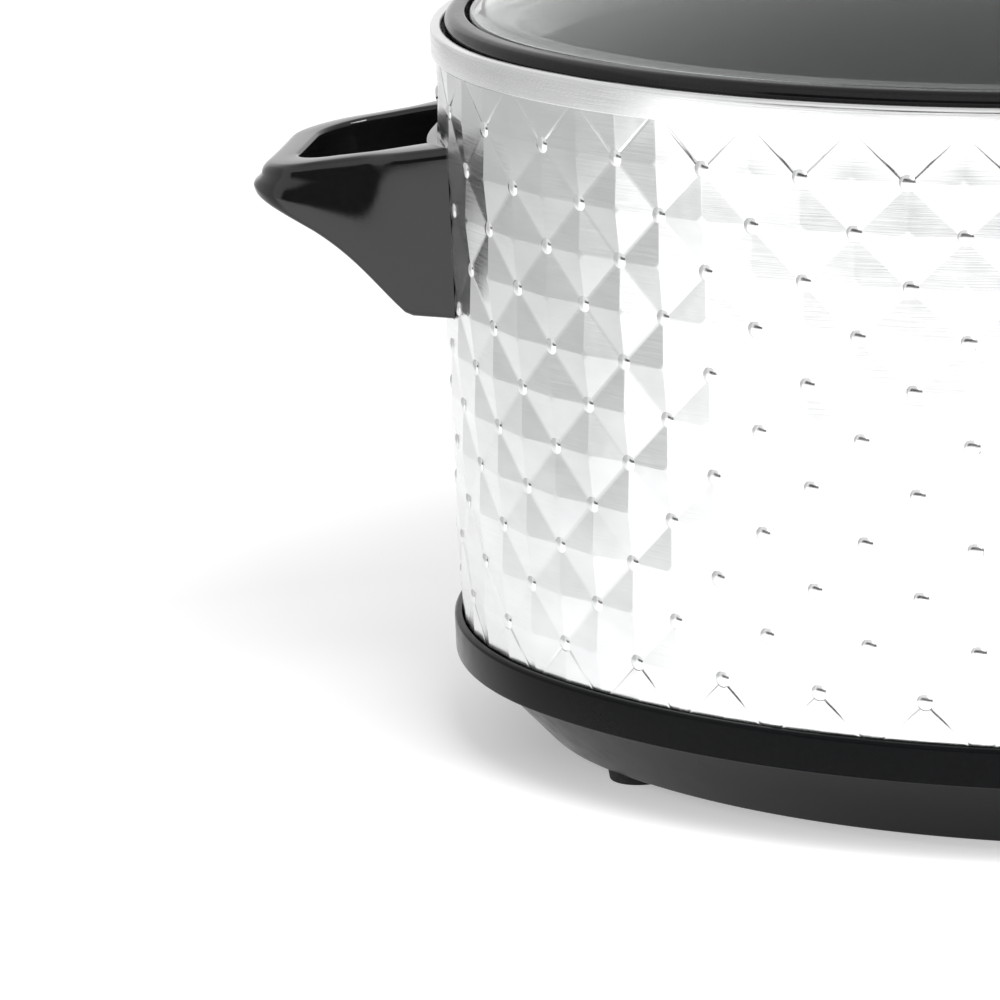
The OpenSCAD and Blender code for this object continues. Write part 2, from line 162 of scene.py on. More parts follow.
def object_from(bm, name):
    """Puts a bmesh into a new object in the scene."""
    mesh = bpy.data.meshes.new(name)
    bm.to_mesh(mesh)
    bm.free()
    o = bpy.data.objects.new(name, mesh)
    bpy.context.scene.collection.objects.link(o)
    return o


def smooth_but_sharp(bm, sharp):
    """Smooth shading, but for edges that turn more than the angle sharp."""
    bmesh.ops.recalc_face_normals(bm, faces=bm.faces)
    for f in bm.faces:
        f.smooth = True
    for e in bm.edges:
        e.smooth = not (len(e.link_faces) == 2 and e.calc_face_angle(0) > sharp)


def new_object(name, vertices, faces, sharp):
    mesh = bpy.data.meshes.new(name)
    mesh.from_pydata([tuple(v) for v in vertices], [], faces)
    bm = bmesh.new()
    bm.from_mesh(mesh)
    bpy.data.meshes.remove(mesh)
    bmesh.ops.remove_doubles(bm, verts=bm.verts, dist=1e-6)
    smooth_but_sharp(bm, sharp)
    return object_from(bm, name)


def grid_faces(rows, columns, close_columns=True):
    """Faces of a grid whose last row joins its first, as its last column may too."""
    faces = []
    for i in range(rows):
        a, b = i * columns, (i + 1) % rows * columns
        for j in range(columns if close_columns else columns - 1):
            k = (j + 1) % columns
            faces.append((a + j, b + j, b + k, a + k))
    return faces


def carried(outline, stations):
    """The points of an outline of (offset, z) at each station round the oval."""
    s = np.arange(stations) * ROUND / stations
    offset, z = np.array(outline).T
    x, y, _, _ = oval(s[:, None], offset[None, :])
    return np.stack([x, y, np.broadcast_to(z, x.shape)], 2)


def sweep(name, outline, stations=360):
    """Carries a closed outline of (offset, z) round the oval."""
    co = carried(outline, stations).reshape(-1, 3)
    return new_object(name, co, grid_faces(stations, len(outline)), SHARP)


def swept_pot(name, outline, middle_z, stations=240, sharp=SHARP):
    """An open outline of (offset, z) carried round the oval, closed across the middle at both its ends."""
    co = carried(outline, stations)
    vertices = [tuple(v) for v in co.reshape(-1, 3)]
    columns = len(outline)
    faces = grid_faces(stations, columns, False)
    for end, z_mid in ((0, middle_z[0]), (columns - 1, middle_z[1])):
        ring = [i * columns + end for i in range(stations)]
        for share in (0.66, 0.33):
            inner = []
            for v in co[:, end]:
                inner.append(len(vertices))
                vertices.append((v[0] * share, v[1] * share, z_mid + (v[2] - z_mid) * share ** 2))
            for i in range(stations):
                k = (i + 1) % stations
                faces.append((ring[i], ring[k], inner[k], inner[i]))
            ring = inner
        vertices.append((0, 0, z_mid))
        for i in range(stations):
            faces.append((ring[i], ring[(i + 1) % stations], len(vertices) - 1))
    return new_object(name, vertices, faces, sharp)


def lathe(name, outline, axis_point, axis, segments=96, sharp=SHARP):
    """Turns an outline of (radius, distance along the axis) about the axis."""
    axis = Vector(axis).normalized()
    side = axis.orthogonal().normalized()
    other = axis.cross(side)
    vertices = []
    for i in range(segments):
        a = 2 * math.pi * i / segments
        out = side * math.cos(a) + other * math.sin(a)
        vertices += [Vector(axis_point) + out * r + axis * h for r, h in outline]
    closed = math.hypot(outline[0][0], outline[-1][0]) > 1e-9
    return new_object(name, vertices, grid_faces(segments, len(outline), closed), sharp)


# ---- Shader nodes ----
def math_node(tree, kind, *values):
    """A maths node fed with numbers and sockets."""
    n = tree.nodes.new("ShaderNodeMath")
    n.operation = kind
    for socket, value in zip(n.inputs, values):
        if isinstance(value, (int, float)):
            socket.default_value = value
        else:
            tree.links.new(value, socket)
    return n.outputs["Value"]


def map_range(tree, value, from_range, to_range=(0, 1), interpolation="LINEAR"):
    n = tree.nodes.new("ShaderNodeMapRange")
    n.interpolation_type = interpolation
    for socket, number in zip(("From Min", "From Max", "To Min", "To Max"), (*from_range, *to_range)):
        n.inputs[socket].default_value = number
    tree.links.new(value, n.inputs["Value"])
    return n.outputs["Result"]


# ---- Materials: each one is built from noise in the object's own space ----
class Shader:
    """A Principled material with short ways to add procedural detail."""

    def __init__(self, name, color, roughness, metallic=0.0, **sockets):
        self.material = bpy.data.materials.new(name)
        self.material.use_nodes = True
        self.tree = self.material.node_tree
        self.bsdf = self.tree.nodes["Principled BSDF"]
        self.color = color
        self.set("Base Color", (*color, 1))
        self.set("Roughness", roughness)
        self.set("Metallic", metallic)
        for socket, value in sockets.items():
            self.set(socket.replace("_", " "), value)
        self.coords = self.tree.nodes.new("ShaderNodeTexCoord").outputs["Object"]
        self.normal = None

    def set(self, socket, value):
        self.bsdf.inputs[socket].default_value = value

    def noise(self, scale, detail, stretch=(1, 1, 1), distortion=0.0):
        """Noise of about 0 to 1, in cells per metre. stretch multiplies the scale along each axis."""
        mapping = self.tree.nodes.new("ShaderNodeMapping")
        mapping.inputs["Scale"].default_value = stretch
        self.tree.links.new(self.coords, mapping.inputs["Vector"])
        n = self.tree.nodes.new("ShaderNodeTexNoise")
        n.inputs["Scale"].default_value = scale
        n.inputs["Detail"].default_value = detail
        n.inputs["Distortion"].default_value = distortion
        self.tree.links.new(mapping.outputs["Vector"], n.inputs["Vector"])
        return n.outputs["Fac"]

    def tint(self, value, dark, light, start=0.3, end=0.7):
        """Varies the colour from dark to light times its own, as value goes from start to end."""
        ramp = self.tree.nodes.new("ShaderNodeValToRGB")
        for element, position, k in zip(ramp.color_ramp.elements, (start, end), (dark, light)):
            element.position = position
            element.color = (*[min(c * k, 1) for c in self.color], 1)
        self.tree.links.new(value, ramp.inputs["Fac"])
        self.tree.links.new(ramp.outputs["Color"], self.bsdf.inputs["Base Color"])

    def rough(self, value, low, high):
        """Varies the roughness from low to high by a noise value."""
        result = map_range(self.tree, value, (0.3, 0.7), (low, high))
        self.tree.links.new(result, self.bsdf.inputs["Roughness"])

    def bump(self, value, distance):
        """Adds relief of that many metres from value."""
        n = self.tree.nodes.new("ShaderNodeBump")
        n.inputs["Distance"].default_value = distance
        n.inputs["Strength"].default_value = 1.0
        self.tree.links.new(value, n.inputs["Height"])
        if self.normal:
            self.tree.links.new(self.normal, n.inputs["Normal"])
        self.normal = n.outputs["Normal"]
        self.tree.links.new(self.normal, self.bsdf.inputs["Normal"])


def brushed_steel(name, color, roughness, grain, wave, streak=(1, 1, 60)):
    """Steel with brushed lines, thin along the axis where streak is largest, and the slow waviness of
    pressed sheet."""
    m = Shader(name, color, roughness, metallic=1.0)
    lines = m.noise(60, 2.0, streak)
    m.tint(m.noise(45, 4.0, (1, 1, 2.2)), 0.93, 1.05)
    m.rough(lines, roughness * 0.8, roughness * 1.3)
    m.bump(m.noise(70, 2.0), wave)
    m.bump(lines, grain)
    return m.material


def moulded_plastic(name, color, roughness, texture, wave, specular=0.5):
    """Moulded plastic: slow sink waviness, a fine tooled texture and faint handling marks."""
    m = Shader(name, color, roughness, Specular_IOR_Level=specular)
    m.tint(m.noise(900, 2.0), 0.85, 1.2)
    m.rough(m.noise(220, 5.0), roughness * 0.8, roughness * 1.45)
    m.bump(m.noise(26, 1.0), wave)
    m.bump(m.noise(3500, 2.0), texture)
    return m.material


def rubber(name, color):
    m = Shader(name, color, 0.7, Specular_IOR_Level=0.3)
    m.tint(m.noise(400, 4.0), 0.8, 1.25)
    m.rough(m.noise(900, 3.0), 0.6, 0.85)
    m.bump(m.noise(2500, 3.0), 0.05 * MM)
    return m.material


def stoneware(name, color):
    """Glazed stoneware: glossy, with a faint orange peel and specks in the glaze."""
    m = Shader(name, color, 0.1, Specular_IOR_Level=0.25)
    m.tint(m.noise(1600, 2.0), 0.8, 1.6, 0.45, 0.75)
    m.rough(m.noise(120, 4.0), 0.07, 0.16)
    m.bump(m.noise(160, 2.0), 0.06 * MM)
    return m.material


def clear_glass(name, color):
    m = Shader(name, color, 0.0, IOR=1.5, Transmission_Weight=1.0)
    m.rough(m.noise(90, 3.0), 0.0, 0.03)
    m.bump(m.noise(14, 1.0), 0.05 * MM)
    return m.material


def mottled(name, color, roughness, spots, metallic=1.0, relief=0.04 * MM):
    """Plated or coated metal, mica or fired clay: a mottled colour and a fine uneven surface."""
    m = Shader(name, color, roughness, metallic=metallic)
    m.tint(m.noise(spots, 4.0), 0.85, 1.08)
    m.rough(m.noise(spots / 2, 4.0), roughness * 0.75, roughness * 1.3)
    m.bump(m.noise(spots * 2, 3.0), relief)
    return m.material


def fibrous(name, color, scale, relief):
    """Wool or a woven sleeve."""
    m = Shader(name, color, 0.9, Sheen_Weight=0.2)
    m.tint(m.noise(scale, 6.0, (1, 1, 3), 2.0), 0.75, 1.15)
    m.rough(m.noise(scale / 2, 3.0), 0.8, 0.98)
    m.bump(m.noise(scale, 6.0, (1, 1, 3), 2.0), relief)
    return m.material


STEEL = brushed_steel("embossed_steel", (0.76, 0.765, 0.77), 0.2, 0.008 * MM, 0.10 * MM)
BAND_STEEL = brushed_steel("rim_steel", (0.80, 0.805, 0.805), 0.24, 0.012 * MM, 0.02 * MM)
SPUN_STEEL = brushed_steel("bezel_metal", (0.72, 0.725, 0.73), 0.24, 0.010 * MM, 0.01 * MM, (60, 1, 60))
LINER = mottled("liner_metal", (0.56, 0.57, 0.58), 0.38, 180)
FASTENER = mottled("fastener_steel", (0.62, 0.62, 0.63), 0.3, 500)
BRASS = mottled("fuse_brass", (0.72, 0.56, 0.27), 0.28, 500)
HANDLE_PLASTIC = moulded_plastic("handle_plastic", (0.005, 0.005, 0.0055), 0.06, 0.004 * MM, 0.25 * MM)
BASE_PLASTIC = moulded_plastic("base_plastic", (0.0035, 0.0038, 0.0042), 0.16, 0.008 * MM, 0.20 * MM, 0.05)
KNOB_PLASTIC = moulded_plastic("knob_plastic", (0.012, 0.012, 0.0125), 0.18, 0.012 * MM, 0.05 * MM)
SWITCH_PLASTIC = moulded_plastic("switch_plastic", (0.05, 0.05, 0.052), 0.45, 0.02 * MM, 0.05 * MM)
POINTER_PAINT = moulded_plastic("pointer_white", (0.86, 0.86, 0.85), 0.4, 0.01 * MM, 0.01 * MM)
RUBBER = rubber("rubber_black", (0.02, 0.02, 0.02))
GLAZE = stoneware("crock_glaze", (0.004, 0.004, 0.0048))
GLASS = clear_glass("lid_glass", (0.93, 0.965, 0.955))
MICA = mottled("heater_mica", (0.52, 0.42, 0.28), 0.5, 700, 0.0, 0.08 * MM)
CERAMIC = mottled("terminal_ceramic", (0.82, 0.79, 0.72), 0.55, 900, 0.0, 0.05 * MM)
WOOL = fibrous("glass_wool", (0.80, 0.77, 0.67), 500, 0.6 * MM)
LEAD_COLORS = {"lead_live": (0.25, 0.10, 0.04), "lead_neutral": (0.05, 0.13, 0.42),
               "lead_fuse": (0.42, 0.05, 0.04), "lead_heater": (0.30, 0.03, 0.03),
               "lead_earth": (0.16, 0.34, 0.06)}


def finish(piece, body, slot, material, *replaced):
    """Gives a piece its material and body, and hides the CAD nodes that it stands in for. slot is not used.
    """
    piece.data.materials.clear()
    piece.data.materials.append(material)
    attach(piece, body)
    if replaced:
        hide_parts(*replaced)


# ---- The embossed wrap: four-sided diamonds between rows of dots ----
COLUMNS = 78                        # columns of dots round the body
PITCH = ROUND / COLUMNS
ROW = 11.75 * MM                    # half a diamond's height
DOT_ROWS = 6                        # dots in a column that starts at the top; the others have one fewer
DOT_TOP = WRAP_TOP - 16.08 * MM     # the highest dots, in every other column
PYRAMID = 0.80 * MM                 # how far a diamond's middle stands out
BEAD = 0.04 * MM                    # the raised line along the diamonds' sides
GROOVE, GROOVE_REACH = 0.30 * MM, 10 * MM   # creases that run on past the outermost dots
DOT_R, DOT_H, DOT_SIDES = 1.95 * MM, 0.62 * MM, 14
FADE_TOP, FADE_FOOT = 18 * MM, 9 * MM       # how soon the diamonds flatten towards the band and the base
WRAP_SHEET = 0.8 * MM
# A diamond's rings, as shares of its size from the middle out, and the points along each of its sides
RINGS = (0.14, 0.55, 0.93, 0.965, 1.0)
ALONG = (0.0, 0.035, 0.14, 0.5, 0.86, 0.965)
# A dot's outline, as shares of its radius and height
DOT_OUTLINE = ((1.12, -0.3), (1.0, 0.12), (0.88, 0.44), (0.68, 0.74), (0.36, 0.94))


def column_point(column):
    """Where a column stands on the oval. Column 0 is in the middle of the front."""
    return oval(np.asarray(column, float) * PITCH)


def fade(z):
    """1 over the pattern and 0 at the band and the base."""
    foot = np.clip((z - BASE_TOP) / FADE_FOOT, 0, 1)
    return np.minimum(np.clip((BAND_LOW - z) / FADE_TOP, 0, 1), foot * foot * (3 - 2 * foot))


def past_dots(z):
    """1 just past the outermost dots, down to 0 at the creases' ends, and 0 among the dots."""
    away = np.maximum(z - DOT_TOP, DOT_TOP - 2 * (DOT_ROWS - 1) * ROW - z)
    return np.clip(away / MM, 0, 1) * np.clip(1 - away / GROOVE_REACH, 0, 1)


def bend(column, height, z):
    """From columns round the body, height out of the sheet and z, to space. It is flat between columns."""
    a = np.floor(column)
    t = column - a
    xa, ya, nxa, nya = column_point(a)
    xb, yb, nxb, nyb = column_point(a + 1)
    return np.stack([xa + (xb - xa) * t + (nxa + (nxb - nxa) * t) * height,
                     ya + (yb - ya) * t + (nya + (nyb - nya) * t) * height, z], -1)


def add_diamond(bm, relief, crease, column, z_mid):
    """Adds a diamond in flat coordinates: x in columns and z in metres, with its height kept in relief."""
    corners = ((1, 0), (0, 1), (-1, 0), (0, -1))
    middle = bm.verts.new((column, 0, z_mid))
    middle[relief] = PYRAMID
    last = None
    for ring in RINGS:
        loop = []
        for side in range(4):
            a, b = corners[side], corners[(side + 1) % 4]
            for t in ALONG:
                u, v = a[0] + (b[0] - a[0]) * t, a[1] + (b[1] - a[1]) * t
                vert = bm.verts.new((column + u * ring, 0, z_mid + v * ring * ROW))
                vert[relief] = PYRAMID * (1 - ring) + (BEAD if ring == 1.0 else 0)
                vert[crease] = ring == 1.0
                loop.append(vert)
        for i, vert in enumerate(loop):
            k = (i + 1) % len(loop)
            if last:
                bm.faces.new((last[i], vert, loop[k], last[k]))
            else:
                bm.faces.new((middle, vert, loop[k]))
        last = loop


def add_front(bm):
    """The embossed front of the sheet, cut off at the wrap's top and foot and bent round the oval."""
    relief = bm.verts.layers.float.new("relief")
    crease = bm.verts.layers.float.new("crease")
    rows = int((WRAP_TOP - WRAP_FOOT) / ROW) + 3
    for column in range(COLUMNS):
        for row in range(-1, rows):
            z_mid = DOT_TOP - row * ROW
            dot_here = (column + row) % 2 == 0
            if not dot_here and z_mid - ROW <= WRAP_TOP and z_mid + ROW >= WRAP_FOOT:
                add_diamond(bm, relief, crease, column, z_mid)
    for z, up in ((WRAP_TOP, 1), (WRAP_FOOT, -1)):
        bmesh.ops.bisect_plane(bm, geom=bm.verts[:] + bm.edges[:] + bm.faces[:], plane_co=(0, 0, z),
                               plane_no=(0, 0, up), clear_outer=True, dist=1e-7)
    co = np.array([v.co for v in bm.verts])
    height = np.array([v[relief] for v in bm.verts]) * fade(co[:, 2])
    height -= np.array([v[crease] for v in bm.verts]) * GROOVE * past_dots(co[:, 2])
    for v, place in zip(bm.verts, bend(co[:, 0], height, co[:, 2])):
        v.co = place
    bmesh.ops.remove_doubles(bm, verts=bm.verts, dist=2e-6)


def add_back(bm):
    """The sheet's plain back."""
    x, y, _, _ = oval(np.arange(COLUMNS * 4) * PITCH / 4, -WRAP_SHEET)
    top, foot = ([bm.verts.new((a, b, z)) for a, b in zip(x, y)] for z in (WRAP_TOP, WRAP_FOOT))
    for i in range(len(top)):
        k = (i + 1) % len(top)
        bm.faces.new((top[i], top[k], foot[k], foot[i]))


def add_dot(bm, centre, out):
    """A raised round button, closed by a disc inside the sheet."""
    along, up = Vector((-out.y, out.x, 0)), Vector((0, 0, 1))
    angles = [2 * math.pi * i / DOT_SIDES for i in range(DOT_SIDES)]
    spokes = [along * math.cos(a) + up * math.sin(a) for a in angles]
    rings = [[bm.verts.new(centre + out * DOT_H * h + spoke * DOT_R * r) for spoke in spokes]
             for r, h in DOT_OUTLINE]
    top = bm.verts.new(centre + out * DOT_H)
    for i in range(DOT_SIDES):
        k = (i + 1) % DOT_SIDES
        for low, high in zip(rings, rings[1:]):
            bm.faces.new((low[i], low[k], high[k], high[i]))
        bm.faces.new((rings[-1][i], rings[-1][k], top))
    bm.faces.new(rings[0][::-1])


def make_wrap():
    bm = bmesh.new()
    add_front(bm)
    add_back(bm)
    for column in range(COLUMNS):
        x, y, nx, ny = (float(v) for v in column_point(column))
        lower = column % 2              # odd columns start half a diamond further down
        for k in range(DOT_ROWS - lower):
            add_dot(bm, Vector((x, y, DOT_TOP - (2 * k + lower) * ROW)), Vector((nx, ny, 0)))
    smooth_but_sharp(bm, math.radians(50))
    finish(object_from(bm, "embossed_wrap"), "housing", "embossed_steel", STEEL, "outer_wrap")


make_wrap()


# ---- Rim band, base, liner and crock, swept round the oval ----
def make_rim_band():
    inner_foot, under_top = SEAT + 0.1 * MM, BAND_TOP - 1.0 * MM
    outline = swept_outline([(1.1, BAND_LOW, 0.3), (1.1, BAND_TOP, 1.1), (-1.6, BAND_TOP, 1.0),
                             (-1.6, inner_foot, 0), (-0.9, inner_foot, 0), (-0.9, under_top, 0),
                             (0.1, under_top, 0), (0.1, BAND_LOW, 0.2)])
    finish(sweep("rim_band_steel", outline), "housing", "rim_steel", BAND_STEEL, "rim_band")


def make_base():
    ring = BASE_TOP - 9 * MM                # the foot of the ring that stands out under the wrap
    tray = BASE_FLOOR + 2.5 * MM            # the upper face of the tray's rim
    outline = swept_outline([(2.2, ring, 0.5), (2.2, BASE_TOP, 1.3), (0.35, BASE_TOP, 0.25),
                             (0.3, WRAP_FOOT, 0), (-5, WRAP_FOOT, 0), (-5, ring - 0.1 * MM, 0),
                             (-20, tray, 0), (-48, tray, 0), (-48, BASE_FLOOR, 0.4), (-18.4, BASE_FLOOR, 1.6),
                             (-1.7, ring + 0.02 * MM, 1.2)])
    finish(sweep("base_moulding", outline), "housing", "base_plastic", BASE_PLASTIC, "base")


def make_liner():
    corner, sheet = 24, 0.8
    inner_floor, under_seat = LINER_FLOOR + sheet * MM, SEAT - sheet * MM
    outline = swept_outline([(-52, LINER_FLOOR, 0), (-16, LINER_FLOOR, corner), (-16, under_seat, 1.2),
                             (-0.95, under_seat, 0), (-0.95, SEAT, 0), (-16 - sheet, SEAT, 2.0),
                             (-16 - sheet, inner_floor, corner - sheet), (-52, inner_floor, 0)], 10)
    finish(swept_pot("liner_pressing", outline, (LINER_FLOOR, inner_floor)),
           "housing", "liner_metal", LINER, "liner_pot")


def make_crock():
    inner_floor, ledge_foot = CROCK_FLOOR + 7 * MM, LID_EDGE - 6.6 * MM
    outline = swept_outline([(-52.5, CROCK_FLOOR, 0), (-18.5, CROCK_FLOOR, 22), (-18.5, SEAT, 1.6),
                             (-2.4, SEAT, 0.9), (-2.4, CREST, 4.2), (-7.4, CREST, 0.7), (-7.4, LID_EDGE, 0.8),
                             (-20, LID_EDGE, 2.0), (-25.5, ledge_foot, 3.0), (-25.5, inner_floor, 15),
                             (-52.5, inner_floor, 0)], 10)
    finish(swept_pot("stoneware_crock", outline, (CROCK_FLOOR, inner_floor), 300),
           "crock", "crock_glaze", GLAZE, "crock")


make_rim_band()
make_base()
make_liner()
make_crock()


# ---- Lid: a rimless tempered dome, its knob and ring ----
def make_lid_dome():
    thick, edge_bulge, seat_dip = 3.6 * MM, 1.5 * MM, 0.3 * MM
    start, end, outside = -9.5 * MM, -100 * MM, -8 * MM     # offsets from the oval
    rise = CROWN - LID_EDGE - thick
    steps = 30

    def dome(i, lift):
        u = i / steps
        return start + (end - start) * u, LID_EDGE + lift + rise * (1 - (1 - u) ** 2)

    under = [dome(i, 0) for i in range(steps, -1, -1)]
    over = [dome(i, thick) for i in range(steps + 1)]
    edge = [(outside - edge_bulge * (1 - math.cos(a)), LID_EDGE + thick / 2 * (1 + math.sin(a)))
            for a in map(math.radians, range(-80, 81, 20))]
    lid = swept_pot("lid_dome", under + edge + over, (CROWN - thick, CROWN - seat_dip), 240, math.radians(60))
    finish(lid, "lid", "lid_glass", GLASS, "lid_glass")


def make_lid_knob():
    top = (LID_KNOB_TOP - LID_KNOB_FOOT) / MM
    outline = turned_outline([(0, 0, 0), (14.5, 0, 1), (11.4, 8, 14), (15, 13.5, 6), (22, 17.6, 3.6),
                              (20.4, 25.5, 5), (11, top - 0.1, 18), (0, top, 0)], 8)
    knob = lathe("lid_knob_moulding", outline, (0, 0, LID_KNOB_FOOT), (0, 0, 1), sharp=math.radians(50))
    finish(knob, "lid", "base_plastic", KNOB_PLASTIC, "lid_knob")


def make_lid_ring():
    foot, top = heights("lid_knob_ring")
    thick = (top - foot) / MM
    outline = turned_outline([(3.4, 0, 0), (18.5, 0, 0.2), (18.5, thick, 0.8), (3.4, thick, 0)])
    ring = lathe("lid_knob_washer", outline, (0, 0, foot), (0, 0, 1))
    finish(ring, "lid", "bezel_metal", SPUN_STEEL, "lid_knob_ring")


make_lid_dome()
make_lid_knob()
make_lid_ring()

# ---- Handles. Here e is the distance outwards from the oval's end ----
HANDLE_LOW = heights("left_handle")[0]
REACH = -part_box("left_handle")[0].x - HALF_W
TOP_Z, FALL = 146.9 * MM, 0.136             # height of the top face at the body, and its fall outwards
TIP_Z = TOP_Z - FALL * REACH
ROOT_Y, ARM_Y, TIP_R = 40.3 * MM, 33 * MM, 16 * MM              # the outside: half widths and tip corners
OPENING_Y, OPENING_TIP_Y, OPENING_R = 27 * MM, 25 * MM, 13 * MM  # the same for the opening
OPENING_REACH = REACH - 10.5 * MM
FLANGE = 3.4 * MM                           # the strip between the body and the opening
FILLET = [math.radians(a) for a in range(0, 91, 18)]


def handle_top(e):
    return TOP_Z - FALL * e


def handle_under(e):
    """The underside's height at e: a flat foot, then a sweep out to the tip."""
    low = HANDLE_LOW - 0.6 * MM
    t = np.linspace(0, 1, 60)
    weights = [(1 - t) ** 3, 3 * t * (1 - t) ** 2, 3 * t ** 2 * (1 - t), t ** 3]
    out = sum(w * c for w, c in zip(weights, (5 * MM, 14 * MM, 20 * MM, REACH - MM)))
    z = sum(w * c for w, c in zip(weights, (low + 0.9 * MM, low + 8 * MM, low + 20 * MM, TIP_Z - 7 * MM)))
    return np.interp(e, np.concatenate([[-26 * MM], out]), np.concatenate([[low], z]))


def lean(e):
    """How far the outer wall leans in at the top, at e."""
    t = min(1.0, max(0.0, (e - 4 * MM) / (12 * MM)))
    return 2.0 * MM * t * t * (3 - 2 * t)


def walk(points, count):
    """count points evenly spaced along a polyline, its ends included."""
    p = np.array(points, float)
    d = np.concatenate([[0], np.cumsum(np.hypot(*np.diff(p, axis=0).T))])
    t = np.linspace(0, d[-1], count)
    return np.stack([np.interp(t, d, p[:, 0]), np.interp(t, d, p[:, 1])], 1)


def mirrored(line):
    """A line of (e, y) on the arm at the other side, walked the other way."""
    return [(e, -y) for e, y in line][::-1]


def end_arc(offset, half_y, count=25):
    """Points of (e, y) on the oval's end moved outwards by offset, from +half_y to -half_y."""
    r = END_R + offset
    a = np.linspace(math.asin(half_y / r), -math.asin(half_y / r), count)
    return np.stack([r * np.cos(a) - END_R, r * np.sin(a)], 1)


def tip_line(reach, half_y, r):
    """Points of (e, y) round a tip with corners of radius r."""
    corner = [(reach - r + r * math.cos(a), r - half_y + r * math.sin(a))
              for a in np.linspace(-math.pi / 2, 0, 13)]
    return corner + mirrored(corner)


def fillet(at, inward, r, level, sign, angles):
    """Points on a rounded edge between a wall at a point of (e, y) and the face of height level(e)."""
    points = []
    for a in angles:
        e, y = at + inward * r * (1 - math.cos(a))
        points.append((e, y, level(e) + sign * r * (1 - math.sin(a))))
    return points


def handle_section(outer, inner, free):
    """The outline of (e, y, z) that joins a point on the outside to one on the opening. free is 0 where
    the outside lies against the body."""
    width = np.hypot(*(outer - inner))
    d = (outer - inner) / width
    top_r, foot_r = (2.6 * MM, 1.6 * MM) if free else (0.3 * MM, 0.3 * MM)
    inner_r = min(1.3 * MM, 0.4 * width)
    leaning = lean(outer[0]) * free
    top, under = handle_top(inner[0]), handle_under(inner[0])
    points = fillet(outer - d * leaning, -d, top_r, handle_top, -1, FILLET)
    points += fillet(inner, d, inner_r, handle_top, -1, FILLET[::-1])
    points += [(*inner, top - inner_r + (under - top + 2 * inner_r) * t) for t in (0.25, 0.5, 0.75)]
    points += fillet(inner, d, inner_r, handle_under, 1, FILLET)
    points += fillet(outer, -d, foot_r, handle_under, 1, FILLET[::-1])
    top, under = handle_top(outer[0]), handle_under(outer[0])
    for t in (0.15, 0.35, 0.6, 0.85):
        bow = 0.35 * MM * 4 * t * (1 - t) * free
        place = outer + d * (bow - leaning * t * t)
        points.append((*place, under + foot_r + (top - under - foot_r - top_r) * t))
    return points


def make_handle(side, name, node):
    body, inside = end_arc(0.1 * MM, ROOT_Y), end_arc(FLANGE, OPENING_Y)
    outer_tip = tip_line(REACH, ARM_Y, TIP_R)
    inner_tip = tip_line(OPENING_REACH, OPENING_TIP_Y, OPENING_R)
    arm_outer = [body[-1], (11 * MM, -36.4 * MM), (20 * MM, -34.6 * MM), outer_tip[0]]
    arm_inner = [inside[-1], (12 * MM, -OPENING_Y), inner_tip[0]]
    stretches = [(walk(arm_outer, 18), walk(arm_inner, 18), 1),
                 (walk(outer_tip, 56), walk(inner_tip, 56), 1),
                 (walk(mirrored(arm_outer), 18), walk(mirrored(arm_inner), 18), 1),
                 (body, inside, 0)]
    co = np.array([handle_section(outer, inner, free)
                   for outers, inners, free in stretches for outer, inner in zip(outers, inners)])
    co[:, :, 0] = side * (HALF_W + np.minimum(co[:, :, 0], REACH))
    rows, columns, _ = co.shape
    handle = new_object(name, co.reshape(-1, 3), grid_faces(rows, columns), math.radians(40))
    finish(handle, "housing", "base_plastic", HANDLE_PLASTIC, node)


make_handle(-1, "handle_loop_left", "left_handle")
make_handle(1, "handle_loop_right", "right_handle")

# ---- Dial: bezel, heat marks, fluted knob and cap. Distances in mm are outwards from the body's front ----
BEZEL_FRONT = (-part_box("control_bezel")[0].y - HALF_D) / MM
BEZEL_SINK = 0.5                # how deep the bezel's face lies behind its rim


def make_bezel():
    low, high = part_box("control_bezel")
    r, face = (high.x - low.x) / 2 / MM, BEZEL_FRONT - BEZEL_SINK
    outline = turned_outline([(5.1, -4, 0), (9, -4, 0.2), (9, -1.4, 0), (r, -1.7, 0), (r, BEZEL_FRONT, 1.0),
                              (r - 2.6, BEZEL_FRONT, 0.3), (r - 3.0, face, 0.3), (19.6, face, 0.2),
                              (19.4, face - 0.4, 0), (10, face - 0.4, 0.2), (10, face - 2.5, 0.2),
                              (5.1, face - 2.5, 0)], 4)
    bezel = lathe("dial_bezel", outline, (0, -HALF_D, DIAL_Z), (0, -1, 0), 128)
    # The back follows the body's curve, so no part of the bezel but its boss stands in the wrap
    for v in bezel.data.vertices:
        if v.co.y > -HALF_D - 0.2 * MM and math.hypot(v.co.x, v.co.z - DIAL_Z) > 9.2 * MM:
            v.co.y = SIDE_Y - math.sqrt((SIDE_R + 1.1 * MM) ** 2 - v.co.x ** 2)
    finish(bezel, "housing", "bezel_metal", SPUN_STEEL, "control_bezel")


